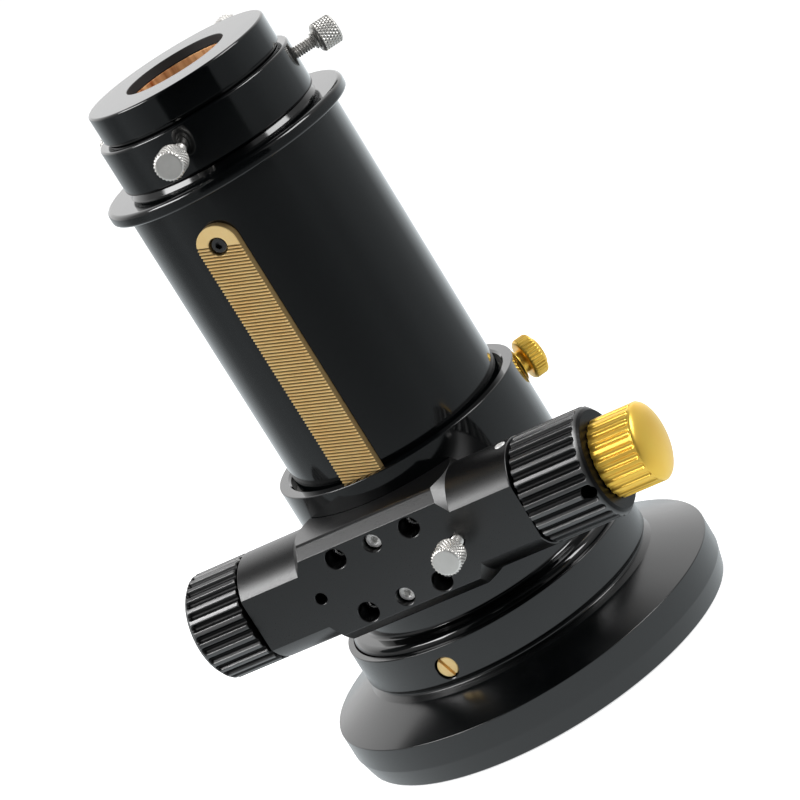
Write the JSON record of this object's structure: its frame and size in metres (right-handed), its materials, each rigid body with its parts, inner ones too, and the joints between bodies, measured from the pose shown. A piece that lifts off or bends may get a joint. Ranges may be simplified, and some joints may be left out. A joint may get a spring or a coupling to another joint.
{
  "type": "rack and pinion focuser",
  "caption": "Rack and pinion telescope focuser with a helical rack on a wide drawtube, a fine drive knob and screw-locked eyepiece holders.",
  "frame": {"origin": "on the optical axis at the telescope end of the flange", "axes": "+Z along the optical axis towards the eyepiece, pinion block on the -Y side, pinion axis along X with the fine knob at +X"},
  "size_m": [0.1536, 0.1292, 0.212],
  "materials": {
    "gloss_black_anodised": "gloss black anodised",
    "satin_black_anodised": "satin black anodised",
    "gold_anodised": "satin gold anodised",
    "brass": "milled, bare",
    "copper_alloy": "rolled, bare",
    "bright_steel": "turned, bright",
    "black_oxide_steel": "black oxide",
    "white_guide_plastic": "machined, slightly waxy",
    "bearing_bronze": "sintered"
  },
  "bodies": {
    "flange": {"telescope_flange": "gloss_black_anodised", "body_lock_screw_1": "brass", "body_lock_screw_2": "brass", "body_lock_screw_3": "brass"},
    "body": {"focuser_body": "satin_black_anodised", "guide_ring_lower": "white_guide_plastic", "guide_ring_upper": "white_guide_plastic", "pinion_block": "satin_black_anodised", "block_screw_1": "black_oxide_steel", "block_screw_2": "black_oxide_steel", "block_screw_3": "black_oxide_steel", "block_screw_4": "black_oxide_steel", "tension_screw_1": "bright_steel", "tension_screw_2": "bright_steel", "bearing_screw": "bright_steel", "pressure_pad": "white_guide_plastic", "shaft_bearing_left": "bearing_bronze", "shaft_bearing_right": "bearing_bronze", "reducer_race": "bright_steel", "carrier_bearing": "bearing_bronze", "lock_washer": "gold_anodised"},
    "drawtube": {"drawtube": "gloss_black_anodised", "rack": "brass", "rack_screw_1": "black_oxide_steel", "rack_screw_2": "black_oxide_steel", "end_ring": "gloss_black_anodised", "eyepiece_holder": "gloss_black_anodised", "clamp_ring_wide": "copper_alloy"},
    "adapter": {"eyepiece_adapter": "gloss_black_anodised", "clamp_ring_narrow": "copper_alloy"},
    "pinion": {"pinion_shaft": "bright_steel", "reducer_carrier": "bright_steel", "reducer_ball_1": "bright_steel", "reducer_ball_2": "bright_steel", "reducer_ball_3": "bright_steel", "coarse_knob_left": "satin_black_anodised", "coarse_knob_right": "satin_black_anodised", "knob_washer_left": "white_guide_plastic", "knob_washer_right": "white_guide_plastic", "grub_screw_left": "black_oxide_steel", "grub_screw_right": "black_oxide_steel"},
    "fine": {"fine_shaft": "bright_steel", "fine_knob": "gold_anodised"},
    "holder_thumbscrew_1": {"holder_thumbscrew_1": "bright_steel"},
    "holder_thumbscrew_2": {"holder_thumbscrew_2": "bright_steel"},
    "holder_thumbscrew_3": {"holder_thumbscrew_3": "bright_steel"},
    "adapter_thumbscrew": {"adapter_thumbscrew": "bright_steel"},
    "block_thumbscrew": {"block_thumbscrew": "bright_steel"},
    "drawtube_lock_screw": {"drawtube_lock_screw": "gold_anodised"}
  },
  "joints": [
    {"name": "body_turn", "type": "hinge", "parent": "flange", "child": "body", "pos_m": [0, 0, 0.035], "axis": [0, 0, 1], "continuous": true},
    {"name": "drawtube_slide", "type": "slide", "parent": "body", "child": "drawtube", "axis": [0, 0, 1], "range_m": [-0.09, 0]},
    {"name": "pinion_turn", "type": "hinge", "parent": "body", "child": "pinion", "pos_m": [0, -0.03937, 0.0645], "axis": [1, 0, 0], "range_deg": [-1935, 0]},
    {"name": "fine_turn", "type": "hinge", "parent": "body", "child": "fine", "pos_m": [0.0704, -0.03937, 0.0645], "axis": [1, 0, 0], "range_deg": [-19351, 0]},
    {"name": "adapter_lift", "type": "slide", "parent": "drawtube", "child": "adapter", "axis": [0, 0, 1], "range_m": [0, 0.04]},
    {"name": "holder_thumbscrew_1_turn", "type": "hinge", "parent": "drawtube", "child": "holder_thumbscrew_1", "pos_m": [0, 0, 0.19535], "axis": [0.1045, -0.9945, 0], "range_deg": [0, 720]},
    {"name": "holder_thumbscrew_2_turn", "type": "hinge", "parent": "drawtube", "child": "holder_thumbscrew_2", "pos_m": [0, 0, 0.19535], "axis": [0.809, 0.5878, 0], "range_deg": [0, 720]},
    {"name": "holder_thumbscrew_3_turn", "type": "hinge", "parent": "drawtube", "child": "holder_thumbscrew_3", "pos_m": [0, 0, 0.19535], "axis": [-0.9135, 0.4067, 0], "range_deg": [0, 720]},
    {"name": "adapter_thumbscrew_turn", "type": "hinge", "parent": "adapter", "child": "adapter_thumbscrew", "pos_m": [0, 0, 0.20605], "axis": [0, 1, 0], "range_deg": [0, 720]},
    {"name": "block_thumbscrew_turn", "type": "hinge", "parent": "body", "child": "block_thumbscrew", "pos_m": [0.0235, 0, 0.0645], "axis": [0, -1, 0], "range_deg": [0, 720]},
    {"name": "drawtube_lock_screw_turn", "type": "hinge", "parent": "body", "child": "drawtube_lock_screw", "pos_m": [0, 0, 0.0802], "axis": [0.7826, 0.6225, 0], "range_deg": [0, 720]}
  ],
  "couplings": [
    {"joint": "pinion_turn", "follows": "drawtube_slide", "rad_per_m": 375.06},
    {"joint": "fine_turn", "follows": "drawtube_slide", "rad_per_m": 3750.6}
  ]
}
